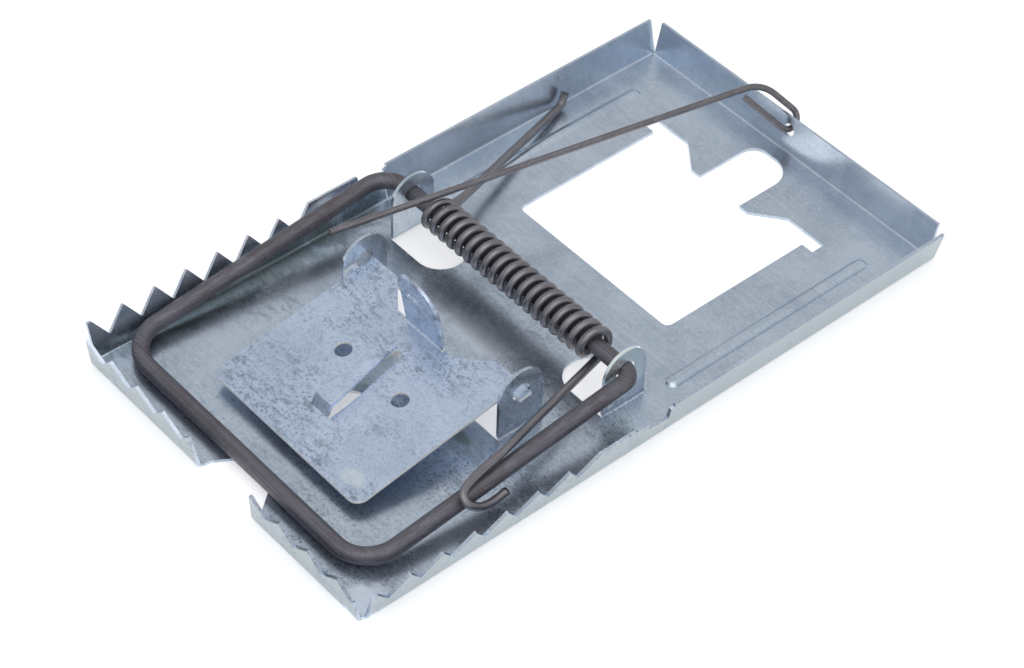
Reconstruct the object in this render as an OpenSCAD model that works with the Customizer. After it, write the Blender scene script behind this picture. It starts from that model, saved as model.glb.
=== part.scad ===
// Rat trap with a folded sheet-metal base, a sprung wire bow and a hinged bait plate.
// All sizes in millimetres. X runs across the trap, Y from the toothed end to the back wall
// and Z up. The origin is the middle of the base's underside.

/* [Base tray] */
// Thickness of the base's galvanised sheet
sheet = 0.8; // [0.6:0.05:1.1]
// Inside radius of the folds in the sheet
fold = 0.6; // [0.4:0.1:1.0]
// Width of the base between its side folds
base_width = 96.2; // [94:0.2:110]
// Length of the base between its end folds
base_length = 170; // [166:1:190]
// Height of the plain walls
wall_height = 9.5; // [9:0.1:12]
// Outward lean of the rear side walls, in degrees
rear_side_lean = 12.5; // [6:0.5:16]
// Outward lean of the toothed side walls, in degrees
front_side_lean = 16; // [10:0.5:20]
// Outward lean of the back wall, in degrees
back_lean = 12; // [6:0.5:16]
// Outward lean of the toothed front wall, in degrees
front_lean = 8; // [4:0.5:14]
// Width of the hole under the bait spike
drain_hole = 12; // [6:0.5:16]
// Height of the two stiffening beads above the floor
bead_rise = 0.8; // [0.5:0.1:1.2]
// Length of the two stiffening beads
bead_length = 59; // [40:1:62]

/* [Teeth] */
// Height of the tooth tips above the underside
tooth_height = 9.6; // [9:0.1:12]
// Height of the bottoms of the gaps between the front teeth
tooth_root = 5.5; // [4.5:0.1:7]
// Height of the bottoms of the gaps between the side teeth
side_tooth_root = 4.6; // [4:0.1:7]
// Spacing of the side teeth
side_tooth_pitch = 8.7; // [7:0.1:11]
// Distance from the middle of the base to the first side gap
side_teeth_start = 26.4; // [26:0.2:32]
// Spacing of the front teeth
front_tooth_pitch = 9.6; // [8:0.1:11]
// Width of the flat left on each tooth tip
tooth_flat = 0.3; // [0.2:0.1:0.8]

/* [Bow] */
// Diameter of the bow's wire
bow_wire = 4; // [3:0.1:4.4]
// Distance from the front fold to the middle of the bow's front bar
bow_front_gap = 7.4; // [5:0.2:11]
// Distance from the right fold to the middle of the right arm
bow_right_gap = 8.8; // [6:0.1:10]
// Distance from the left fold to the middle of the left arm
bow_left_gap = 2.5; // [2.3:0.1:6]
// Radius of the two front corners, along the middle of the wire
bow_front_corner = 9; // [6:0.5:16]
// Radius of the bend from the shaft into the left arm
bow_left_corner = 6.5; // [4:0.1:7]
// Radius of the bend from the shaft into the right arm
bow_right_corner = 3; // [2.6:0.1:3.2]
// Height of the bow's shaft above the underside
shaft_height = 11.5; // [10.6:0.1:13]
// Distance of the shaft behind the middle of the base, negative towards the front
shaft_place = -2; // [-4:0.1:0]

/* [Ears] */
// Gap between the bow's right ear and its right arm
bow_ear_gap = 0.5; // [0.3:0.1:1.2]
// Radius of the round tops of the bow's ears
bow_ear_radius = 6.1; // [5.6:0.1:6.8]
// Diameter of the holes in the bow's ears
bow_ear_hole = 5.4; // [5:0.1:5.8]
// Distance from the inner faces of the bow's ears in to those of the bait plate's
plate_ear_inset = 9.4; // [8.8:0.1:11]
// Radius of the round tops of the bait plate's ears
plate_ear_radius = 6.3; // [5.8:0.1:6.8]
// Diameter of the holes in the bait plate's ears
plate_ear_hole = 4.8; // [4.5:0.1:5.4]

/* [Bait plate] */
// Thickness of the bait plate
plate_sheet = 0.8; // [0.6:0.05:1.0]
// Gap between the plate's side edges and the inner faces of its ears
plate_side_gap = 1.2; // [0.6:0.1:3]
// Distance from the plate's front edge to the middle of the bow's front bar
plate_front_gap = 9.2; // [7:0.1:14]
// Half of the width of the two pivot tabs
tab_half_width = 1.7; // [1.2:0.05:1.8]
// Length that the pivot tabs stand out past the outer faces of their ears
tab_overhang = 1.4; // [0.8:0.1:2.2]
// Distance of the pivot in front of the middle of the base
pivot_place = 23.8; // [22:0.1:25]
// Height of the pivot above the underside
pivot_height = 10.95; // [10.5:0.05:12]
// Downward tilt of the plate towards the front, in degrees
plate_tilt = 9.2; // [4:0.2:10]
// Height of the upright catch
catch_height = 17; // [15:0.1:18]
// Half of the width of the catch
catch_half_width = 6.4; // [5:0.1:6.6]
// Height of the catch's slot above the plate
catch_slot_height = 9.8; // [8:0.1:11]
// Diameter of the two holes beside the bait spike
plate_hole = 4.2; // [2.5:0.1:4.5]
// Height of the bait spike's blade above the plate's middle
spike_rise = 2.6; // [2:0.1:3.4]

/* [Spring] */
// Diameter of the spring's wire
spring_wire = 2; // [1.6:0.1:2.2]
// Radius of the coil, along the middle of the wire
coil_radius = 3.6; // [3.4:0.05:3.9]
// Number of turns in the coil
coil_turns = 19; // [16:1:20]
// Room between the left ear and the coil
coil_left_room = 7.8; // [7.4:0.1:8.6]
// Room between the coil and the right ear
coil_right_room = 8.1; // [7.6:0.1:11]
// Distance from the shaft to the middle of the hook round the bow's arm
hook_place = 46; // [42:0.5:54]
// Distance behind the shaft at which the left leg meets the floor
floor_leg_reach = 54.4; // [50:0.2:60]

/* [Lock wire] */
// Diameter of the lock wire
lock_wire_diameter = 1.6; // [1.2:0.05:1.7]
// Distance from the lock wire's eye to its tip
lock_reach = 119; // [112:0.5:121]
// Inside half-width of the eye, from the wall strip's middle to the middle of the wire
eye_radius = 2.75; // [2.7:0.05:2.9]
// Distance from the wall strip's middle to the straight part of the wire
eye_depth = 9.9; // [9:0.1:10.5]
// Diameter of the hole in the back wall
wall_hole = 3.4; // [3.2:0.1:3.8]
// Height of the hole in the back wall
wall_hole_height = 6.1; // [5.8:0.1:6.4]
// Place of the hole in the back wall across the trap
wall_hole_place = -1; // [-6:0.5:4]
// Sideways lean of the eye, in degrees
eye_lean = 40; // [34:1:44]

/* [Hidden] */
$fn = 48;
// Gap left between pieces that only rest on each other.
rest_gap = 0.3;
outer_fold = fold + sheet;
half_width = base_width / 2;
half_length = base_length / 2;
bow_radius = bow_wire / 2;
bow_reach = half_length + shaft_place - bow_front_gap;
bow_right = half_width - bow_right_gap;
bow_left = half_width - bow_left_gap;
bow_ear_place = bow_right - bow_radius - bow_ear_gap - sheet;
plate_ear_place = bow_ear_place - plate_ear_inset;
plate_half_width = plate_ear_place - plate_side_gap;
plate_reach = bow_reach - shaft_place - pivot_place - plate_front_gap;
coil_start = coil_left_room - bow_ear_place;
coil_pitch = (2 * bow_ear_place - coil_left_room - coil_right_room) / coil_turns;
spring_radius = spring_wire / 2;
lock_radius = lock_wire_diameter / 2;
galvanised = [0.72, 0.76, 0.79];
dark_steel = [0.30, 0.28, 0.28];

// How far a fold of the given lean starts before the sharp edge, to a hundredth.
function fold_start(lean) = round(100 * outer_fold * tan((90 - lean) / 2)) / 100;
// Length along a leaning wall, from the end of its fold to the given height.
function along(height, lean) = (height - outer_fold * (1 - sin(lean))) / cos(lean);
function unit(v) = v / norm(v);

// Takes a square corner at the origin off a flat shape that lies towards plus X and plus Y.
module corner_cut(radius) {
  difference() {
    translate([-1, -1]) square(radius + 1);
    translate([radius, radius]) circle(radius);
  }
}

// Section of a fold and its leaning wall, in steps of the fold, on a floor at minus X.
function fold_section(lean, height) = let (
  bend = 90 - lean,
  start = fold_start(lean),
  steps = 8,
  out = [sin(bend), -cos(bend)],
  top = [cos(bend), sin(bend)] * along(height, lean)
) concat(
  [for (i = [0 : steps]) [-start + outer_fold * sin(bend * i / steps),
    outer_fold - outer_fold * cos(bend * i / steps)]],
  [[-start, outer_fold] + out * outer_fold + top, [-start, outer_fold] + out * fold + top],
  [for (i = [steps : -1 : 0]) [-start + fold * sin(bend * i / steps),
    outer_fold - fold * cos(bend * i / steps)]]
);

// A folded wall along X. Its children draw what is cut out of it, on the wall's own plane,
// with the end of the fold at height 0.
module folded_wall(start, end, lean, height) {
  difference() {
    translate([start, 0, 0]) rotate([90, 0, 90]) linear_extrude(end - start)
      polygon(fold_section(lean, height));
    translate([0, -fold_start(lean), outer_fold]) rotate([90 - lean, 0, 0])
      translate([0, 0, -outer_fold - 1]) linear_extrude(6) children();
  }
}

// The base tray: its floor, walls, teeth, beads and ears are one folded sheet.
rear_floor = half_width - fold_start(rear_side_lean);
front_floor = half_width - fold_start(front_side_lean);
back_floor = half_length - fold_start(back_lean);
toothed_floor = half_length - fold_start(front_lean);
side_split = 0.3;
slit = 0.4;
notch_depth = 8.5;
notch_middle = 2.2;
notch_half_width = 9.3;
front_teeth = floor((half_width - 11) / front_tooth_pitch);
side_teeth = floor((toothed_floor - side_teeth_start) / side_tooth_pitch);
// The bait plate was cut out this far in front of the back fold, measured at its pivot.
blank_place = half_length - 18.7;
catch_back = -3.8;
catch_fold = catch_back - plate_sheet - fold;
catch_length = catch_height + 1.4;
catch_relief = 0.4;
ear_relief = 0.4;
// The bow's ears were drawn up by this much when they were folded.
ear_set = 1.4;
// The shaft lies against the tops of the ear holes.
bow_hole_height = shaft_height + bow_radius + rest_gap - bow_ear_hole / 2;
// The pivot tabs lie near the bottoms of the ear holes.
tab_diagonal = norm([tab_half_width, plate_sheet / 2]);
plate_hole_height = pivot_height + plate_ear_hole / 2 - tab_diagonal - rest_gap;

// The bait plate's flat pattern, whose place in the sheet becomes the rear window.
module plate_pattern(extra) {
  rear = tab_half_width + extra;
  front = -plate_reach - extra;
  side = plate_half_width + extra;
  tab = plate_ear_place + sheet + tab_overhang + extra;
  relief = catch_half_width + catch_relief;
  polygon([
    [-side, front], [side, front], [side, -tab_half_width - extra],
    [tab, -tab_half_width - extra], [tab, rear], [17.2, rear], [9.6, -4.3 + extra],
    [relief, -4.3 + extra], [relief, catch_fold], [-relief, catch_fold], [-relief, -4.3 + extra],
    [-9.6, -4.3 + extra], [-17.2, rear], [-tab, rear], [-tab, -tab_half_width - extra],
    [-side, -tab_half_width - extra]
  ]);
}

module rear_window() {
  strip = catch_half_width + catch_relief;
  translate([0, blank_place]) difference() {
    union() {
      plate_pattern(0.2);
      translate([-strip, catch_fold - 1]) square([2 * strip, catch_length + 2]);
    }
    for (side = [0, 1]) mirror([side, 0])
      translate([-plate_half_width - 0.2, -plate_reach - 0.2]) corner_cut(1.8);
    translate([-strip, catch_fold + catch_length + 1]) mirror([0, 1]) corner_cut(4);
    translate([strip, catch_fold + catch_length + 1]) rotate(180) corner_cut(6.6);
  }
}

// The place in the floor that an ear was cut from. Its inner end is round.
module ear_blank(place, radius, length) {
  inner = place - length + radius;
  outer = place + outer_fold;
  half = radius + ear_relief;
  translate([inner, 0]) circle(half);
  polygon([[inner, -half], [outer, -half], [outer, half], [inner, half]]);
}

module front_notch() {
  translate([notch_middle, -half_length]) polygon([
    [-notch_half_width - 0.5, -2], [-notch_half_width, 3], [-notch_half_width + 3.5, notch_depth],
    [notch_half_width - 4.8, notch_depth], [notch_half_width - 0.4, 3],
    [notch_half_width + 0.2, -2]
  ]);
}

module floor_outline() {
  difference() {
    union() {
      translate([-rear_floor, -side_split]) square([2 * rear_floor, back_floor + side_split]);
      translate([-front_floor, -toothed_floor])
        square([2 * front_floor, toothed_floor - side_split]);
    }
    rear_window();
    front_notch();
    translate([0, -50]) circle(d = drain_hole);
    for (side = [0, 1]) mirror([side, 0]) {
      translate([0, shaft_place])
        ear_blank(bow_ear_place, bow_ear_radius, bow_hole_height + bow_ear_radius - ear_set);
      translate([0, -pivot_place])
        ear_blank(plate_ear_place, plate_ear_radius, plate_hole_height + plate_ear_radius);
    }
  }
}

// A half-round ridge along Y, or the groove under it.
module bead_body(radius, drop) {
  translate([0, 0, -drop]) {
    rotate([-90, 0, 0]) cylinder(r = radius, h = bead_length);
    sphere(radius);
    translate([0, bead_length, 0]) sphere(radius);
  }
}

bead_radius = 2.4;
bead_drop = bead_radius - sheet - bead_rise;
bead_place = half_width - 9.2;
bead_near = 11;

// One V-shaped gap between two teeth.
module tooth_gap(before, after, root, lean) {
  top = along(tooth_height, lean) + 1;
  rise = top - along(root, lean);
  widen = rise / (rise - 1);
  polygon([
    [-(before - tooth_flat / 2) * widen, top], [0, along(root, lean)],
    [(after - tooth_flat / 2) * widen, top]
  ]);
}

module side_wall() {
  above = tooth_height + 3;
  // The plain rear half.
  folded_wall(-side_split, half_length, rear_side_lean, wall_height) {
    // A step at the front end of the wall.
    polygon([[-1, along(8.2, rear_side_lean)], [0.6, along(8.6, rear_side_lean)],
      [0.9, above], [-1, above]]);
  }
  // The toothed front half, parted from the rear half by a slit.
  folded_wall(-half_length + 1.6, -side_split - slit, front_side_lean, tooth_height) {
    polygon([[1, along(5.8, front_side_lean)], [-7, along(6.8, front_side_lean)],
      [-8.1, above], [1, above]]);
    for (i = [0 : side_teeth]) translate([-side_teeth_start - i * side_tooth_pitch, 0])
      tooth_gap(side_tooth_pitch / 2 - 0.6, side_tooth_pitch / 2 + 0.6, side_tooth_root,
        front_side_lean);
  }
}

// Half of the front wall, drawn from the notch outwards. Its outer end slopes inwards.
module front_half(inner, end) {
  folded_wall(inner, end, front_lean, tooth_height) {
    polygon([[inner - 1, -1], [inner, 0], [inner + 1.6, tooth_height + 2],
      [inner - 1, tooth_height + 2]]);
    polygon([[end - 0.1, -3], [end - 1.3, tooth_height + 2], [end + 1, tooth_height + 2],
      [end + 1, -3]]);
    for (i = [0 : front_teeth]) translate([14.8 + i * front_tooth_pitch, 0])
      tooth_gap(3.8, front_tooth_pitch - 3.8, tooth_root, front_lean);
  }
}

module front_wall() {
  translate([notch_middle, -half_length, 0]) mirror([0, 1, 0]) {
    front_half(notch_half_width, half_width - 0.5 - notch_middle);
    mirror([1, 0, 0]) front_half(notch_half_width + 0.5, half_width - 0.5 + notch_middle);
  }
}

module back_wall() {
  end = rear_floor - 0.1;
  translate([0, half_length, 0]) folded_wall(-end, end, back_lean, wall_height)
    translate([wall_hole_place, along(wall_hole_height, back_lean)]) circle(d = wall_hole);
}

// An upright ear on the right side, folded up from the floor outside it.
module ear(place, middle, radius, height, hole) {
  rise = height - outer_fold;
  translate([place, middle, 0]) rotate([0, 0, 90])
    folded_wall(-radius, radius, 0, height + radius) {
      difference() {
        translate([-radius - 1, rise]) square([2 * radius + 2, radius + 1]);
        translate([0, rise]) circle(radius);
      }
      translate([0, rise]) circle(d = hole);
    }
}

module base_tray() {
  color(galvanised) difference() {
    union() {
      linear_extrude(sheet) floor_outline();
      for (side = [0, 1]) mirror([side, 0, 0]) {
        translate([half_width, 0, 0]) mirror([1, -1, 0]) side_wall();
        ear(bow_ear_place, shaft_place, bow_ear_radius, bow_hole_height, bow_ear_hole);
        ear(plate_ear_place, -pivot_place, plate_ear_radius, plate_hole_height, plate_ear_hole);
        intersection() {
          translate([bead_place, bead_near, 0]) bead_body(bead_radius, bead_drop);
          translate([bead_place - 5, 0, 0]) cube([10, 100, 5]);
        }
      }
      back_wall();
      front_wall();
    }
    for (side = [0, 1]) mirror([side, 0, 0])
      translate([bead_place, bead_near, 0]) bead_body(bead_radius - sheet, bead_drop);
  }
}

// The bow's front bar lies just above the floor.
bow_tilt = asin((shaft_height - sheet - rest_gap - bow_radius) / bow_reach);
bow_left_bend = -bow_left + bow_left_corner;
bow_right_bend = bow_right - bow_right_corner;

// A quarter bend of round wire in the XY plane, from one angle on by ninety degrees.
module quarter_bend(radius, wire_radius, from) {
  rotate([0, 0, from]) rotate_extrude(angle = 90) translate([radius, 0]) circle(wire_radius);
}

module bow() {
  arm_end = bow_reach - bow_front_corner;
  color(dark_steel) translate([0, shaft_place, shaft_height]) rotate([bow_tilt, 0, 0]) {
    translate([bow_left_bend, 0, 0]) rotate([0, 90, 0])
      cylinder(r = bow_radius, h = bow_right_bend - bow_left_bend);
    translate([bow_left_bend, -bow_left_corner, 0]) quarter_bend(bow_left_corner, bow_radius, 90);
    translate([-bow_left, -bow_left_corner, 0]) rotate([90, 0, 0])
      cylinder(r = bow_radius, h = arm_end - bow_left_corner);
    translate([-bow_left + bow_front_corner, -arm_end, 0])
      quarter_bend(bow_front_corner, bow_radius, 180);
    translate([-bow_left + bow_front_corner, -bow_reach, 0]) rotate([0, 90, 0])
      cylinder(r = bow_radius, h = bow_left + bow_right - 2 * bow_front_corner);
    translate([bow_right - bow_front_corner, -arm_end, 0])
      quarter_bend(bow_front_corner, bow_radius, 270);
    translate([bow_right, -bow_right_corner, 0]) rotate([90, 0, 0])
      cylinder(r = bow_radius, h = arm_end - bow_right_corner);
    translate([bow_right_bend, -bow_right_corner, 0]) quarter_bend(bow_right_corner, bow_radius, 0);
  }
}

// The torsion spring: its coil lies round the bow's shaft.
coil_height = shaft_height + 0.2;
coil_sides = 6;
coil_steps = 8;
coil_end = coil_start + coil_turns * coil_pitch;
function arm_height(y) = shaft_height - (shaft_place - y) * tan(bow_tilt);

// Angle 0 is the front of the coil, 90 the top, and the coil starts and ends at the bottom.
function coil_point(angle) = [
  coil_start + coil_pitch * (angle + 90) / 360,
  shaft_place - coil_radius * cos(angle),
  coil_height + coil_radius * sin(angle)
];

// A straight leg from one point to another, without its first point.
function leg_points(from, to, steps) = [for (i = [1 : steps]) from + (to - from) * i / steps];

// Rounds the corners of a short path: each inner point becomes five points of a smooth curve.
function smooth(path) = [
  path[0],
  for (i = [1 : len(path) - 2]) let (
    a = path[i] + unit(path[i - 1] - path[i]) * min(2.2, norm(path[i - 1] - path[i]) / 2.5),
    b = path[i] + unit(path[i + 1] - path[i]) * min(2.2, norm(path[i + 1] - path[i]) / 2.5)
  ) for (t = [0 : 0.25 : 1]) a * (1 - t) * (1 - t) + path[i] * 2 * t * (1 - t) + b * t * t,
  path[len(path) - 1]
];

arm_gap = bow_radius + spring_radius + rest_gap + 0.1;
// A point of the hook: its distance beside the arm's middle, its distance past the middle of
// the hook and its height above the arm's middle.
function hook_point(beside, past, above) = let (y = shaft_place - hook_place - past)
  [bow_right + beside, y, arm_height(y) + above];
// The leg runs on over the bow's right arm, and its hook turns down outside it and back.
hook = [
  coil_point(coil_turns * 360 - 90) + [0.4, -2.4, -0.3],
  hook_point(-1.5, -8.9, arm_gap - 0.2),
  hook_point(-0.9, -3.5, arm_gap),
  hook_point(0, 0.9, arm_gap + 0.1),
  hook_point(1.3, 3.6, arm_gap + 0.2),
  hook_point(arm_gap - 0.2, 3.8, 2.1),
  hook_point(arm_gap + 0.3, 0.3, -1.2),
  hook_point(arm_gap + 0.3, -3.1, -2.2),
  hook_point(arm_gap + 0.1, -7.2, -2.1)
];
// The left leg runs back to the floor beside the side wall and its tip turns up.
leg_height = sheet + rest_gap + spring_radius;
floor_leg = [
  coil_point(-90) + [-0.5, 2.4, -0.2],
  [-half_width + 2.4, shaft_place + floor_leg_reach, leg_height],
  [-half_width + 1.8, shaft_place + floor_leg_reach + 1.6, leg_height + 3]
];
spring_path = concat(
  [for (i = [len(smooth(floor_leg)) - 1 : -1 : 0]) smooth(floor_leg)[i]],
  [for (i = [0 : coil_turns * coil_steps]) coil_point(-90 + i * 360 / coil_steps)],
  smooth(hook)
);

// One tube around a path, from frames that turn as little as they can from point to point.
module wire_along(path, radius, sides) {
  last = len(path) - 1;
  function direction(i) = unit(path[min(i + 1, last)] - path[max(i - 1, 0)]);
  function square_to(v, d) = unit(v - (v * d) * d);
  normals = [
    for (i = 0, n = square_to([0, 0, 1], direction(0)); i <= last;
      i = i + 1, n = square_to(n, direction(min(i, last)))) n
  ];
  points = [
    for (i = [0 : last]) for (k = [0 : sides - 1])
      path[i] + radius * (cos(k * 360 / sides) * normals[i]
        + sin(k * 360 / sides) * cross(direction(i), normals[i]))
  ];
  faces = concat(
    [for (i = [0 : last - 1]) for (k = [0 : sides - 1]) let (m = (k + 1) % sides)
      [i * sides + k, (i + 1) * sides + k, (i + 1) * sides + m]],
    [for (i = [0 : last - 1]) for (k = [0 : sides - 1]) let (m = (k + 1) % sides)
      [i * sides + k, (i + 1) * sides + m, i * sides + m]],
    [for (k = [1 : sides - 2]) [0, k, k + 1]],
    [for (k = [1 : sides - 2]) [last * sides, last * sides + k + 1, last * sides + k]]
  );
  polyhedron(points = points, faces = faces);
}

// How far along the wire each point of the path lies.
path_length = [
  for (i = 0, far = 0; i < len(spring_path);
    i = i + 1, far = far + (i < len(spring_path) ? norm(spring_path[i] - spring_path[i - 1]) : 0))
    far
];
// Least gap between parts of the spring that are four wires or more apart along it.
spring_gap = min([
  for (i = [0 : len(spring_path) - 1]) for (j = [i : len(spring_path) - 1])
    if (path_length[j] - path_length[i] > 4 * spring_wire) norm(spring_path[i] - spring_path[j])
]) - spring_wire;
echo(spring_gap = spring_gap);

arm_way = [0, -cos(bow_tilt), -sin(bow_tilt)];
arm_start = [bow_right, shaft_place, shaft_height];
// Least gap between the right leg and the straight part of the bow's arm.
echo(arm_gap_least = min([for (p = spring_path) if (p[1] < shaft_place - 5 && p[0] > 0)
  norm(cross(p - arm_start, arm_way))]) - bow_radius - spring_radius);

module torsion_spring() {
  color(dark_steel) wire_along(spring_path, spring_radius, coil_sides);
}

// The bait plate: the plate, its pivot tabs, its catch and its spike are one sheet.
module catch_outline() {
  top = catch_height - outer_fold;
  difference() {
    translate([-catch_half_width, 0]) square([2 * catch_half_width, top]);
    translate([-catch_half_width, top]) mirror([0, 1]) corner_cut(2.8);
    translate([catch_half_width, top]) rotate(180) corner_cut(7);
    for (x = [-3.65, -0.55]) translate([x, catch_slot_height]) circle(d = 1.9);
    translate([-3.65, catch_slot_height - 0.95]) square([3.1, 1.9]);
  }
}

module spike_opening() {
  polygon([
    [-3.2, -34.1], [3.2, -34.1], [3.2, -30], [2.9, -24.7], [1.1, -12.6], [-1.1, -12.6],
    [-2.9, -24.7], [-3.2, -30]
  ]);
  translate([0, -12.6]) circle(1.1);
}

// The spike is a tongue that rises at its root and runs back as a narrow blade.
module bait_spike() {
  half = plate_sheet / 2;
  intersection() {
    translate([-4, 0, 0]) rotate([90, 0, 90]) linear_extrude(8) polygon([
      [-36, -half], [-34.0, -half], [-32.2, spike_rise - half], [-12.4, spike_rise + 0.2 - half],
      [-12.4, spike_rise + 0.2 + half], [-32.6, spike_rise + half], [-34.4, half], [-36, half]
    ]);
    translate([0, 0, -2]) linear_extrude(spike_rise + 6) polygon([
      [-3, -36.5], [2.4, -36.5], [2.4, -31], [-0.1, -12.2], [-0.9, -12.2], [-3, -31]
    ]);
  }
}

module bait_plate() {
  color(galvanised) translate([0, -pivot_place, pivot_height]) rotate([plate_tilt, 0, 0]) {
    translate([0, 0, -plate_sheet / 2]) linear_extrude(plate_sheet) difference() {
      plate_pattern(0);
      spike_opening();
      for (x = [-9.6, 10.2]) translate([x, -20]) circle(d = plate_hole);
      for (side = [0, 1]) mirror([side, 0])
        translate([-plate_half_width, -plate_reach]) corner_cut(3);
    }
    translate([0, catch_back, -plate_sheet / 2]) catch_wall();
    bait_spike();
  }
}

// The upright catch, with its fold.
module catch_wall() {
  outer = fold + plate_sheet;
  translate([0, -outer, outer]) {
    translate([-catch_half_width, 0, 0]) rotate([0, 90, 0]) rotate_extrude(angle = 90)
      translate([fold, 0]) square([plate_sheet, 2 * catch_half_width]);
    rotate([90, 0, 0]) translate([0, 0, -outer]) linear_extrude(plate_sheet) catch_outline();
  }
}

// The eye lies in a leaning plane through the hole in the back wall and the wire's rest on the
// coil, and it turns about the middle of the narrow strip between the hole and the wall's top.
lock_rest = [
  coil_start + 1.1, shaft_place + 0.5,
  coil_height + coil_radius + spring_radius + lock_radius + rest_gap
];
hole_middle = [
  wall_hole_place,
  half_length + wall_hole_height * tan(back_lean) - sheet / 2 / cos(back_lean),
  wall_hole_height
];
wall_normal = [0, cos(back_lean), -sin(back_lean)];
to_hole = unit(hole_middle - lock_rest);
straight_up = unit([0, 0, 1] - to_hole[2] * to_hole);
leaning_up = cos(eye_lean) * straight_up - sin(eye_lean) * cross(to_hole, straight_up);
eye_normal = unit(cross(to_hole, leaning_up));
strip_way = unit(cross(wall_normal, eye_normal)) * sign(cross(wall_normal, eye_normal)[2]);
strip_half = ((wall_height - wall_hole_height) / strip_way[2] + wall_hole / 2) / 2;
strip_middle = hole_middle + strip_half * strip_way;
to_strip = strip_middle - lock_rest;
eye_turn = asin(eye_depth / norm(to_strip));
across_strip = unit(cross(eye_normal, to_strip));
wire_way = cos(eye_turn) * unit(to_strip) + sin(eye_turn) * across_strip;
eye_up = cos(eye_turn) * across_strip - sin(eye_turn) * unit(to_strip);
echo(lock_pivot = strip_middle, lock_axis = cross(eye_up, wire_way));

// Way out of the eye's two branches in its own plane, a 3-4-5 slope, and the way along them.
branch_out = [0.8, 0.6, 0];
branch_up = [-0.6, 0.8, 0];
branch_angle = atan2(branch_out[1], branch_out[0]);
eye_bend = 9;
seam = 0.01;

module round_wire(from, to) {
  translate(from) rotate([0, 0, atan2(to[1] - from[1], to[0] - from[0])]) rotate([0, 90, 0])
    translate([0, 0, seam]) cylinder(r = lock_radius, h = norm(to - from) - 2 * seam);
}

// A ball that closes the hairline seam between a straight piece and a bend.
module seam_ball(place) {
  translate(place) sphere(lock_radius + 0.002);
}

module lock_wire() {
  bend_x = (eye_radius - eye_bend - (eye_depth - eye_bend) * branch_out[1]) / branch_out[0];
  bend_middle = [bend_x, eye_depth - eye_bend, 0];
  side = cross(wire_way, eye_up);
  // The eye's other branch ends just under the straight wire.
  branch_length = (eye_depth - 2 * lock_radius - rest_gap + branch_out[1] * eye_radius)
    / branch_up[1];
  color(dark_steel) multmatrix([
    [wire_way[0], eye_up[0], side[0], strip_middle[0]],
    [wire_way[1], eye_up[1], side[1], strip_middle[1]],
    [wire_way[2], eye_up[2], side[2], strip_middle[2]],
    [0, 0, 0, 1]
  ]) {
    round_wire([-lock_reach, eye_depth, 0], [bend_x, eye_depth, 0]);
    translate(bend_middle) rotate([0, 0, branch_angle])
      rotate_extrude(angle = 90 - branch_angle) translate([eye_bend, 0]) circle(lock_radius);
    round_wire(branch_out * eye_radius, bend_middle + branch_out * eye_bend);
    seam_ball([bend_x, eye_depth, 0]);
    seam_ball(bend_middle + branch_out * eye_bend);
    seam_ball(branch_out * eye_radius);
    seam_ball(-branch_out * eye_radius);
    rotate([0, 0, branch_angle + 180]) rotate_extrude(angle = 180)
      translate([eye_radius, 0]) circle(lock_radius);
    round_wire(-branch_out * eye_radius, -branch_out * eye_radius + branch_up * branch_length);
  }
}

base_tray();
bow();
torsion_spring();
bait_plate();
lock_wire();
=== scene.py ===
import math

import bmesh
import bpy
from mathutils import Matrix, Vector


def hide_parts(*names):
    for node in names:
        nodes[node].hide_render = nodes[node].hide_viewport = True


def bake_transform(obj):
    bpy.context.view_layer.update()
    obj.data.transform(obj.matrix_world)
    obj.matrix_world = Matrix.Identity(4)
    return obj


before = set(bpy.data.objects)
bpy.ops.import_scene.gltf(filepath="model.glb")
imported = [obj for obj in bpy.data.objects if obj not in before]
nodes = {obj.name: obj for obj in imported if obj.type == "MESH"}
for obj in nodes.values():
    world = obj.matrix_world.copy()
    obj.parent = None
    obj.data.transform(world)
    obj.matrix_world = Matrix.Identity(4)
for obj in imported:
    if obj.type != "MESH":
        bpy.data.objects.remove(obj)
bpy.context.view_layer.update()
MM = 0.001

# Sizes and places in millimetres, with the values that the part's source has.
sheet = 0.8
rest_gap = 0.3
half_width = 48.1
shaft_place, shaft_height = -2.0, 11.5
bow_radius = 2
bow_right = 39.3
bow_reach = 75.6
pivot_place, pivot_height = 23.8, 10.95
plate_tilt = math.radians(9.2)
spring_radius = 1
coil_radius = 3.6
coil_turns = 19
coil_length = 56.1
coil_pitch = coil_length / coil_turns
coil_start = -28.2
coil_height = shaft_height + 0.2
hook_place = 46
floor_leg_reach = 54.4
arm_gap = bow_radius + spring_radius + rest_gap + 0.1
leg_height = sheet + rest_gap + spring_radius
bow_tilt = math.asin((shaft_height - sheet - rest_gap - bow_radius) / bow_reach)


def colour(red, green, blue):
    return (red, green, blue, 1.0)


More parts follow.
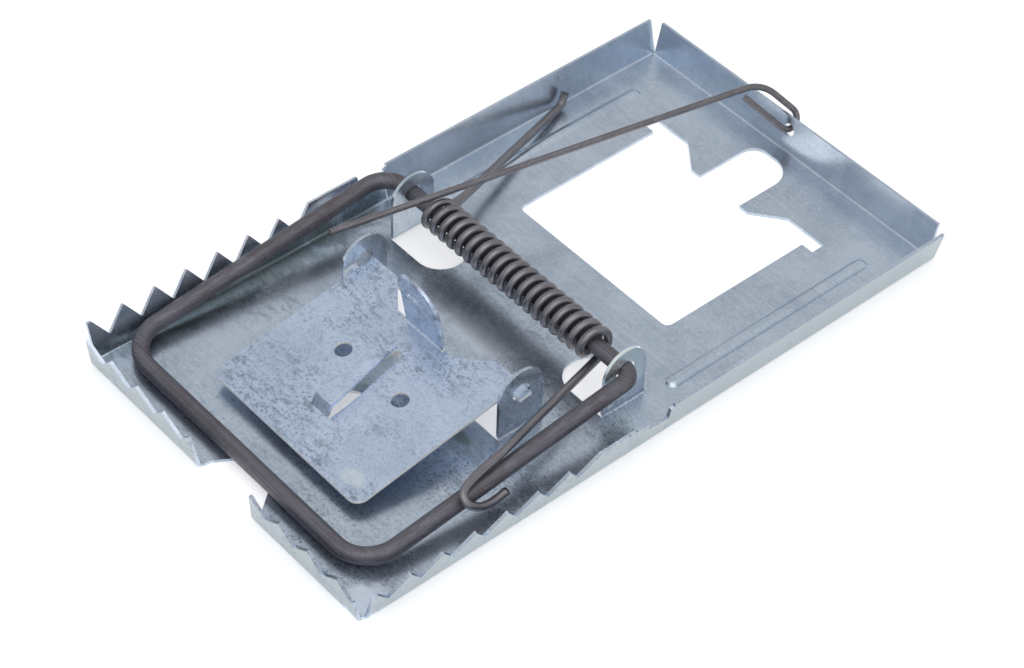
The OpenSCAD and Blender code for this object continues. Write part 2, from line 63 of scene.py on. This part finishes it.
class Tree:
    """A material's shader, with short calls that make a node, set its sockets and link them."""

    def __init__(self, name):
        self.material = bpy.data.materials.new(name)
        self.material.use_nodes = True
        self.tree = self.material.node_tree
        self.tree.nodes.clear()
        self.shader = self.tree.nodes.new("ShaderNodeBsdfPrincipled")
        output = self.tree.nodes.new("ShaderNodeOutputMaterial")
        self.tree.links.new(self.shader.outputs[0], output.inputs[0])

    def put(self, node, key, value):
        """Sets an input, or links it where the value is a socket."""
        socket = node.inputs[key]
        if isinstance(value, bpy.types.NodeSocket):
            self.tree.links.new(value, socket)
        else:
            socket.default_value = value

    def node(self, kind, out=0, **inputs):
        """Makes a node with the named inputs and gives one of its outputs."""
        n = self.tree.nodes.new("ShaderNode" + kind)
        for key, value in inputs.items():
            self.put(n, key, value)
        return n.outputs[out]

    def place(self):
        return self.node("TexCoord", out="Object")

    def axis(self, vector, index):
        """One coordinate of a vector: 0 for X, 1 for Y, 2 for Z."""
        return self.node("SeparateXYZ", out=index, Vector=vector)

    def mapped(self, vector, scale=(1, 1, 1), turn=(0, 0, 0), move=(0, 0, 0)):
        return self.node("Mapping", Vector=vector, Scale=scale, Rotation=turn, Location=move)

    def noise(self, vector, scale, detail, rough, distortion=0.0):
        return self.node("TexNoise", out="Fac", Vector=vector, Scale=scale, Detail=detail,
                         Roughness=rough, Distortion=distortion)

    def math(self, operation, a, b=0.5):
        n = self.tree.nodes.new("ShaderNodeMath")
        n.operation = operation
        self.put(n, 0, a)
        self.put(n, 1, b)
        return n.outputs[0]

    def span(self, value, low, high, to_low=0.0, to_high=1.0, kind="SMOOTHSTEP"):
        """Takes low to to_low and high to to_high, and what lies past them no further."""
        n = self.tree.nodes.new("ShaderNodeMapRange")
        n.interpolation_type = kind
        for key, given in enumerate((value, low, high, to_low, to_high)):
            self.put(n, key, given)
        return n.outputs[0]

    def mix(self, share, a, b, kind="RGBA"):
        """Goes from a to b as share goes from 0 to 1."""
        socket_a, socket_b, result = {"RGBA": (6, 7, 2), "VECTOR": (4, 5, 1)}[kind]
        n = self.tree.nodes.new("ShaderNodeMix")
        n.data_type = kind
        self.put(n, 0, share)
        self.put(n, socket_a, a)
        self.put(n, socket_b, b)
        return n.outputs[result]

    def layered(self, base, layers):
        """A colour with other colours laid over it, each by its own share."""
        for share, tint in layers:
            base = self.mix(share, base, tint)
        return base

    def bump(self, height, strength, distance, normal=None):
        n = self.tree.nodes.new("ShaderNodeBump")
        self.put(n, "Height", height)
        self.put(n, "Strength", strength)
        self.put(n, "Distance", distance)
        if normal is not None:
            self.put(n, "Normal", normal)
        return n.outputs[0]

    def spot(self, vector, middle, size, ragged):
        """1 inside a soft ragged patch about a point of the object, 0 outside it."""
        local = self.mapped(vector, scale=tuple(1 / (s * MM) for s in size),
                            move=tuple(-m / s for m, s in zip(middle, size)))
        away = self.tree.nodes.new("ShaderNodeVectorMath")
        away.operation = "LENGTH"
        self.put(away, 0, local)
        return self.span(self.math("ADD", away.outputs["Value"], ragged), 1.25, 0.55)


# Zinc-coated sheet, for the base and the bait plate.
def zinc_coat(t, at, dark, light):
    """The colour of cloudy zinc with faint crystals, and the clouds."""
    clouds = t.noise(at, scale=42, detail=4, rough=0.6, distortion=0.4)
    cells = t.node("TexVoronoi", out="Color", Vector=t.mapped(at, scale=(1, 1, 0.4)), Scale=260)
    facets = t.node("SeparateColor", Color=cells)
    crystals = t.mix(facets, colour(0.36, 0.43, 0.52), colour(0.78, 0.84, 0.92))
    crystal_share = 0.14
    return t.mix(crystal_share, t.mix(t.span(clouds, 0.3, 0.7), dark, light), crystals), clouds


def marks(t, at, clean_rear):
    """Where smudged flecks lie, and how thick the fine dark pepper is. Both come in patches."""
    leaning = t.mapped(at, turn=(0, 0, 0.6), scale=(1, 2.2, 1))
    smudge = t.noise(leaning, scale=300, detail=4, rough=0.66, distortion=0.25)
    patchy = t.span(t.noise(at, scale=60, detail=3, rough=0.5), 0.32, 0.62)
    fleck = t.math("MULTIPLY", t.span(smudge, 0.52, 0.36), patchy)
    thick = t.span(patchy, 0.0, 1.0, 0.35, 0.95)
    # The rear has few of either, and the left side has less pepper.
    if clean_rear:
        toward_front = t.span(t.axis(t.place(), 1), 0.016, -0.014, 0.22, 1.0)
        toward_right = t.span(t.axis(t.place(), 0), -0.014, 0.010, 0.30, 1.0)
        fleck = t.math("MULTIPLY", fleck, toward_front)
        thick = t.math("MULTIPLY", t.math("MULTIPLY", thick, toward_front), toward_right)
    return fleck, thick


def scratches(t, at):
    """1 on a few long fine scratches, which run three ways, and 0 elsewhere."""
    scratch = 0.0
    for turn, stretch, rare in ((0.5, 60, 0.71), (-1.1, 75, 0.72), (1.9, 50, 0.73)):
        drawn_out = t.mapped(at, turn=(0, 0, turn), scale=(1, stretch, 1))
        field = t.noise(drawn_out, scale=19, detail=2, rough=0.5, distortion=0.3)
        scratch = t.math("MAXIMUM", scratch, t.span(field, rare, rare + 0.02))
    return scratch


def cut_edges(t):
    """1 on the sheared edges of the tilted bait plate, 0 elsewhere."""
    y, z = -pivot_place * MM, pivot_height * MM
    c, s = math.cos(plate_tilt), math.sin(plate_tilt)
    lean = (-plate_tilt, 0, 0)
    level = t.mapped(t.place(), turn=lean, move=(0, -y * c - z * s, y * s - z * c))
    facing = t.mapped(t.node("TexCoord", out="Normal"), turn=lean)
    shares = []
    # The edges lie within the flat sheet's thickness, and look sideways.
    for vector, low, high in ((level, 0.62 * sheet * MM, 0.54 * sheet * MM), (facing, 0.86, 0.70)):
        shares.append(t.span(t.math("ABSOLUTE", t.axis(vector, 2)), low, high))
    return t.math("MULTIPLY", *shares)


def galvanised(name, dark, light, seed, flecks, stains_and_painted_light, roughness, painted_down_shade=0.0, clean_rear=False,
               painted_cut_highlight=False):
    t = Tree(name)
    place = t.place()
    at = t.mapped(place, move=(seed, seed * 0.7, seed * 1.3))
    coat, clouds = zinc_coat(t, at, dark, light)
    fleck, thick = marks(t, at, clean_rear)
    pepper = t.noise(at, scale=1400, detail=4, rough=0.72)
    grain = t.noise(at, scale=2600, detail=2, rough=0.6)
    rolling_lines = t.noise(t.mapped(at, scale=(1, 30, 1)), scale=60, detail=3, rough=0.5)
    scratch = scratches(t, at)
    # The last layer paints shade on faces that look down, in a darker, greener colour.
    looks_up = t.axis(t.node("TexCoord", out="Normal"), 2)
    base = t.layered(coat, (
        (t.math("MULTIPLY", fleck, flecks), colour(0.20, 0.24, 0.31)),
        (t.math("MULTIPLY", t.span(pepper, 0.50, 0.34), thick), colour(0.19, 0.23, 0.31)),
        (t.span(pepper, 0.55, 0.70, 0.0, 0.45), colour(0.84, 0.91, 1.0)),
        (t.span(grain, 0.35, 0.65, 0.0, 0.10), colour(0.30, 0.35, 0.42)),
        (t.span(rolling_lines, 0.4, 0.62, 0.0, 0.12), colour(0.83, 0.87, 0.92)),
        (t.math("MULTIPLY", scratch, 0.22), colour(0.80, 0.86, 0.94)),
        (t.span(looks_up, -0.02, -0.13, 0.0, painted_down_shade), colour(0.33, 0.385, 0.405)),
    ))
    ragged = t.span(t.noise(at, scale=160, detail=4, rough=0.7, distortion=0.6), 0.2, 0.8,
                    -0.55, 0.55, kind="LINEAR")
    # Stains, and patches of painted light and painted shade, laid over the coat.
    base = t.layered(base, [
        (t.math("MULTIPLY", t.spot(place, middle, size, ragged), share), tint)
        for middle, size, tint, share in stains_and_painted_light
    ])
    metal, cut_metal = 0.9, 0.15
    # Painted highlight: the sheared edges get a near-white colour with little metal, so they show as
    # bright lines.
    if painted_cut_highlight:
        edge = cut_edges(t)
        base = t.mix(edge, base, t.mix(grain, colour(0.86, 0.86, 0.82), colour(0.96, 0.96, 0.93)))
        metal = t.span(edge, 0.0, 1.0, metal, cut_metal)
    rough = t.span(clouds, 0.25, 0.75, *roughness)
    rough = t.math("ADD", rough, t.math("MULTIPLY", fleck, 0.14))
    rough = t.math("SUBTRACT", rough, t.math("MULTIPLY", scratch, 0.06))
    waves = t.bump(t.noise(at, scale=26, detail=2, rough=0.4), strength=0.22, distance=0.0010)
    fine = t.bump(pepper, strength=0.14, distance=0.00006, normal=waves)
    t.put(t.shader, "Base Color", base)
    t.put(t.shader, "Metallic", metal)
    t.put(t.shader, "Roughness", rough)
    t.put(t.shader, "Normal", t.bump(scratch, strength=0.2, distance=0.00004, normal=fine))
    return t.material


# Each stain, or patch of painted light or painted shade, has its middle and its half-sizes in
# millimetres, its colour and its strength.
sheet_stains_and_painted_light = [
    # Painted reflection on the floor between the plate and the coil: a faint dark patch for the coil's
    # mirrored image, and a pale patch of painted light.
    ((17, -11, 0), (9, 5, 4), colour(0.24, 0.28, 0.36), 0.15),
    ((0, -13, 0), (12, 5, 4), colour(0.84, 0.90, 0.98), 0.60),
    # Painted light on the shaded floor seen through the bait spike's opening, painted shade along the
    # front wall, and a painted reflection of light in its right corner.
    ((-5, -37, 0), (4, 10, 3), colour(0.90, 0.92, 0.84), 0.80),
    ((-2, -79.0, 0), (45, 2.5, 4), colour(0.15, 0.19, 0.26), 0.25),
    ((43.5, -81, 0), (5, 5, 3), colour(0.80, 0.88, 1.0), 0.85),
    # Painted light on the shaded side of the right bow ear.
    ((36, -2, 12), (3, 8, 9), colour(0.92, 1.0, 0.98), 0.90),
    # Painted light on the left teeth, painted shade at the foot of their wall, and a darker grey patch on
    # the floor by the left bow ear.
    ((-50, -45, 13), (4, 46, 4.5), colour(0.92, 0.91, 0.94), 0.75),
    ((-46, -42, 2), (5, 44, 4), colour(0.22, 0.27, 0.28), 0.85),
    ((-30, -2, 0), (9, 30, 5), colour(0.36, 0.42, 0.49), 0.45),
    # Painted shadow: a dark spot on the floor under the plate's right edge, and grey painted shade about
    # it.
    ((22, -36, 0), (3.2, 1.6, 3), colour(0.16, 0.15, 0.11), 0.75),
    ((24, -37, 0), (6, 4, 3), colour(0.34, 0.38, 0.36), 0.45),
    # A brown mark on the left wall beside the tip of the spring's left leg.
    ((-50, 54, 7.4), (1.0, 1.4, 1.4), colour(0.14, 0.09, 0.06), 0.8),
]
# A pale patch near the plate's front right corner.
plate_pale_patch = [((19, -63.7, 5), (3.4, 1.8, 4), colour(0.86, 0.89, 0.88), 0.4)]
base_zinc = galvanised("galvanised_base", colour(0.47, 0.545, 0.64), colour(0.60, 0.68, 0.78),
                       seed=0.31, flecks=0.42, stains_and_painted_light=sheet_stains_and_painted_light, roughness=(0.20, 0.28),
                       painted_down_shade=0.78, clean_rear=True)
plate_zinc = galvanised("galvanised_plate", colour(0.53, 0.64, 0.81), colour(0.65, 0.76, 0.95),
                        seed=1.77, flecks=0.80, stains_and_painted_light=plate_pale_patch, roughness=(0.25, 0.35),
                        painted_cut_highlight=True)


# Dark drawn wire, for the bow, the lock wire and the spring.
def drawn_wire(name, along_wire, dark, light, seed, roughness, worn=1.0):
    """Lines along the wire, with brown patches and bright and dark specks as worn says."""
    t = Tree(name)
    streaks = t.noise(along_wire(t), scale=1.0, detail=3, rough=0.55)
    at = t.mapped(t.place(), move=(seed, seed, seed))
    patches = t.span(t.noise(at, scale=130, detail=4, rough=0.65, distortion=0.5), 0.42, 0.66)
    grain = t.noise(at, scale=1500, detail=3, rough=0.65)
    base = t.layered(t.mix(t.span(streaks, 0.30, 0.70), dark, light), (
        (t.math("MULTIPLY", patches, 0.35 * worn), colour(0.125, 0.098, 0.092)),
        (t.span(grain, 0.60, 0.74, 0.0, 0.35 * worn), colour(0.36, 0.36, 0.38)),
        (t.span(grain, 0.38, 0.28, 0.0, 0.45 * worn), colour(0.06, 0.05, 0.05)),
    ))
    metal = 0.9
    rough = t.math("ADD", t.span(streaks, 0.3, 0.7, *roughness), t.math("MULTIPLY", patches, 0.06))
    lines = t.bump(streaks, strength=0.10, distance=0.00004)
    t.put(t.shader, "Base Color", base)
    t.put(t.shader, "Metallic", metal)
    t.put(t.shader, "Roughness", rough)
    t.put(t.shader, "Normal", t.bump(grain, strength=0.08, distance=0.00003, normal=lines))
    return t.material


def along_bow(t):
    """Lines along Y on the bow's arms and along X on its front bar and its shaft."""
    place = t.place()
    arms_middle, arms_half = 0.040, 0.029
    far = t.math("ABSOLUTE", t.math("ADD", t.axis(place, 1), arms_middle))
    on_bars = t.span(far, arms_half, arms_half + 0.005)
    on_arm = t.mapped(place, scale=(2400, 36, 2400))
    on_bar = t.mapped(place, scale=(36, 2400, 2400))
    return t.mix(on_bars, on_arm, on_bar, kind="VECTOR")


def along_lock_wire(t):
    """Lines along the lock wire, which leans to the left at rest."""
    heading = -0.28
    return t.mapped(t.mapped(t.place(), turn=(0, 0, heading)), scale=(1800, 30, 1800))


def along_spring(t):
    """Lines along the spring's wire, whose UV map has its girth as U and its length as V."""
    uv = t.tree.nodes.new("ShaderNodeUVMap")
    uv.uv_map = "wire"
    return t.mapped(uv.outputs[0], scale=(22, 2.5, 1))


bow_steel = drawn_wire("bow_steel", along_bow, colour(0.135, 0.128, 0.143),
                       colour(0.222, 0.217, 0.252), seed=0.5, roughness=(0.50, 0.60))
lock_steel = drawn_wire("lock_steel", along_lock_wire, colour(0.182, 0.174, 0.184),
                        colour(0.234, 0.226, 0.240), seed=2.1, roughness=(0.34, 0.42), worn=0.6)
spring_steel = drawn_wire("spring_steel", along_spring, colour(0.185, 0.178, 0.192),
                          colour(0.308, 0.301, 0.322), seed=3.4, roughness=(0.30, 0.38), worn=0.5)


# The CAD nodes that stay get their materials and fine worn edges.
def dress(node, material, edge_width, edge_angle):
    """Edges that turn by more than edge_angle, in radians, are rounded."""
    piece = nodes[node]
    piece.data.materials.clear()
    piece.data.materials.append(material)
    for face in piece.data.polygons:
        face.material_index = 0
    weld = piece.modifiers.new("weld", "WELD")
    weld.merge_threshold = 0.000002
    edge = piece.modifiers.new("edge", "BEVEL")
    edge.width, edge.segments = edge_width, 2
    edge.limit_method, edge.angle_limit = "ANGLE", edge_angle
    smooth = piece.modifiers.new("normals", "WEIGHTED_NORMAL")
    smooth.keep_sharp = True


sheet_edge_angle, wire_edge_angle = 0.5, 1.0
dress("base_tray", base_zinc, 0.00012, sheet_edge_angle)
dress("bait_plate", plate_zinc, 0.0002, sheet_edge_angle)
dress("bow", bow_steel, 0.0003, wire_edge_angle)
dress("lock_wire", lock_steel, 0.00015, wire_edge_angle)


# The torsion spring, along the same path as the solid, with round wire and more rings.
def coil_point(angle):
    """A point of the coil: 0 is its front and 90 its top, and it starts and ends at the bottom."""
    a = math.radians(angle)
    return Vector((coil_start + coil_pitch * (angle + 90) / 360,
                   shaft_place - coil_radius * math.cos(a), coil_height + coil_radius * math.sin(a)))


def hook_point(beside, past, above):
    """A point beside the right arm's middle, past the middle of the hook and above the arm."""
    y = shaft_place - hook_place - past
    arm_height = shaft_height - (shaft_place - y) * math.tan(bow_tilt)
    return Vector((bow_right + beside, y, arm_height + above))


def rounded(path, reach=2.2, steps=8):
    """A path whose inner corners are curves that start at reach from them, or nearer on a short leg."""
    points = [path[0]]
    for before, corner, after in zip(path, path[1:], path[2:]):
        back, on = before - corner, after - corner
        start = corner + back.normalized() * min(reach, back.length / 2.5)
        end = corner + on.normalized() * min(reach, on.length / 2.5)
        for i in range(steps + 1):
            s = i / steps
            points.append(start * (1 - s) ** 2 + corner * 2 * s * (1 - s) + end * s * s)
    return points + [path[-1]]


def softened(points, rounds=3, long_step=1.6):
    """A path with its corners cut a little and more points on its long straight stretches."""
    for _ in range(rounds):
        inner = []
        for a, b in zip(points, points[1:]):
            if (b - a).length > long_step:
                inner += [a * 0.75 + b * 0.25, a * 0.25 + b * 0.75]
            else:
                inner.append((a + b) / 2)
        points = [points[0], *inner, points[-1]]
    return points


def eased(path, length):
    """A path with a short step at each end, where the wire's cut end is eased."""
    first = path[0] + (path[1] - path[0]).normalized() * length
    last = path[-1] + (path[-2] - path[-1]).normalized() * length
    return [path[0], first, *path[1:-1], last, path[-1]]


def spring_path(steps):
    # The right leg runs on over the bow's right arm, and its hook turns down outside it and back.
    hook = [
        coil_point(coil_turns * 360 - 90) + Vector((0.4, -2.4, -0.3)),
        hook_point(-1.5, -8.9, arm_gap - 0.2),
        hook_point(-0.9, -3.5, arm_gap),
        hook_point(0, 0.9, arm_gap + 0.1),
        hook_point(1.3, 3.6, arm_gap + 0.2),
        hook_point(arm_gap - 0.2, 3.8, 2.1),
        hook_point(arm_gap + 0.3, 0.3, -1.2),
        hook_point(arm_gap + 0.3, -3.1, -2.2),
        hook_point(arm_gap + 0.1, -7.2, -2.1),
    ]
    # The left leg runs back to the floor beside the side wall, and its tip turns up.
    floor_leg = [
        coil_point(-90) + Vector((-0.5, 2.4, -0.2)),
        Vector((-half_width + 2.4, shaft_place + floor_leg_reach, leg_height)),
        Vector((-half_width + 1.8, shaft_place + floor_leg_reach + 1.6, leg_height + 3)),
    ]
    coil = [coil_point(-90 + i * 360 / steps) for i in range(coil_turns * steps + 1)]
    points = softened(rounded(floor_leg)[::-1] + coil + rounded(hook))
    return [p * MM for p in points]


def tube(name, path, radius, sides, material, end_share=0.70, length_unit=0.02):
    """A round wire along a path, narrowed at its two ends, with the UV map that its lines need."""
    bm = bmesh.new()
    uv = bm.loops.layers.uv.new("wire")
    last = len(path) - 1
    ways = [(path[min(i + 1, last)] - path[max(i - 1, 0)]).normalized() for i in range(last + 1)]
    normal = (Vector((0, 0, 1)) - ways[0] * ways[0].z).normalized()
    angles = [k * math.tau / sides for k in range(sides)]
    rings, lengths, run = [], [], 0.0
    for i, way in enumerate(ways):
        normal = (normal - way * normal.dot(way)).normalized()
        side = way.cross(normal)
        run += (path[i] - path[max(i - 1, 0)]).length
        share = end_share if i in (0, last) else 1.0
        lengths.append(run)
        rings.append([bm.verts.new(path[i] + (normal * math.cos(a) + side * math.sin(a)) * radius * share)
                      for a in angles])
    for i in range(last):
        for k in range(sides):
            m = (k + 1) % sides
            face = bm.faces.new((rings[i][k], rings[i][m], rings[i + 1][m], rings[i + 1][k]))
            face.smooth = True
            corners = ((k, i), (k + 1, i), (k + 1, i + 1), (k, i + 1))
            for loop, (u, v) in zip(face.loops, corners):
                loop[uv].uv = (u / sides, lengths[v] / length_unit)
    bm.faces.new(rings[0][::-1])
    bm.faces.new(rings[-1])
    bmesh.ops.recalc_face_normals(bm, faces=bm.faces)
    mesh = bpy.data.meshes.new(name)
    bm.to_mesh(mesh)
    bm.free()
    piece = bpy.data.objects.new(name, mesh)
    bpy.context.scene.collection.objects.link(piece)
    mesh.materials.append(material)
    return piece


coil_steps, wire_sides, end_ease = 32, 14, 0.0003
spring = tube("torsion_spring_wire", eased(spring_path(coil_steps), end_ease), spring_radius * MM,
              wire_sides, spring_steel)
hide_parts("torsion_spring")
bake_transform(spring)


# A plain pale table and soft light all round.
def white_table(half_size):
    mesh = bpy.data.meshes.new("table")
    low, high = -half_size, half_size
    corners = [(low, low, 0), (high, low, 0), (high, high, 0), (low, high, 0)]
    mesh.from_pydata(corners, [], [(0, 1, 2, 3)])
    piece = bpy.data.objects.new("table", mesh)
    bpy.context.scene.collection.objects.link(piece)
    t = Tree("table_white")
    t.put(t.shader, "Base Color", colour(0.90, 0.90, 0.90))
    t.put(t.shader, "Roughness", 0.7)
    # A faint glow keeps the table white under weak lamps.
    t.put(t.shader, "Emission Color", colour(1.0, 1.0, 1.0))
    t.put(t.shader, "Emission Strength", 0.38)
    mesh.materials.append(t.material)
    return piece


def studio():
    world = bpy.data.worlds.new("studio")
    bpy.context.scene.world = world
    world.use_nodes = True
    back = world.node_tree.nodes["Background"]
    back.inputs["Color"].default_value = colour(0.95, 0.97, 1.0)
    back.inputs["Strength"].default_value = 0.67
    bpy.context.scene.view_settings.view_transform = "Standard"


def lamp(name, place, size, power):
    """A large square lamp that faces the object."""
    data = bpy.data.lights.new(name, "AREA")
    data.shape, data.size, data.energy = "SQUARE", size, power
    light = bpy.data.objects.new(name, data)
    bpy.context.scene.collection.objects.link(light)
    light.location = place
    light.rotation_mode = "QUATERNION"
    light.rotation_quaternion = (-Vector(place)).to_track_quat("-Z", "Y")


table = white_table(half_size=1.6)
studio()
lamp("front", (0.55, -0.66, 1.05), size=1.6, power=3.8)
lamp("top", (0.35, -0.15, 1.2), size=1.4, power=2.8)


# The photograph's camera, as fitted to the base's four folded corners.
def photo_camera():
    place = Vector((346.45, -314.89, 466.90)) * MM
    azimuth, elevation, roll = (math.radians(angle) for angle in (47.955, 45.390, 1.942))
    focal_pixels, image_width, sensor_width = 2909.1, 1024, 36
    back = Vector((math.sin(azimuth) * math.cos(elevation), -math.cos(azimuth) * math.cos(elevation),
                   math.sin(elevation)))
    right = Vector((math.cos(azimuth), math.sin(azimuth), 0))
    up = back.cross(right)
    rolled_right = right * math.cos(roll) + up * math.sin(roll)
    rolled_up = up * math.cos(roll) - right * math.sin(roll)
    data = bpy.data.cameras.new("photo")
    data.sensor_width = sensor_width
    data.lens = focal_pixels * sensor_width / image_width
    data.clip_start, data.clip_end = 0.01, 20
    camera = bpy.data.objects.new("photo", data)
    bpy.context.scene.collection.objects.link(camera)
    turn = Matrix((rolled_right, rolled_up, back)).transposed()
    camera.matrix_world = Matrix.Translation(place) @ turn.to_4x4()
    bpy.context.scene.camera = camera


photo_camera()
bpy.context.view_layer.update()
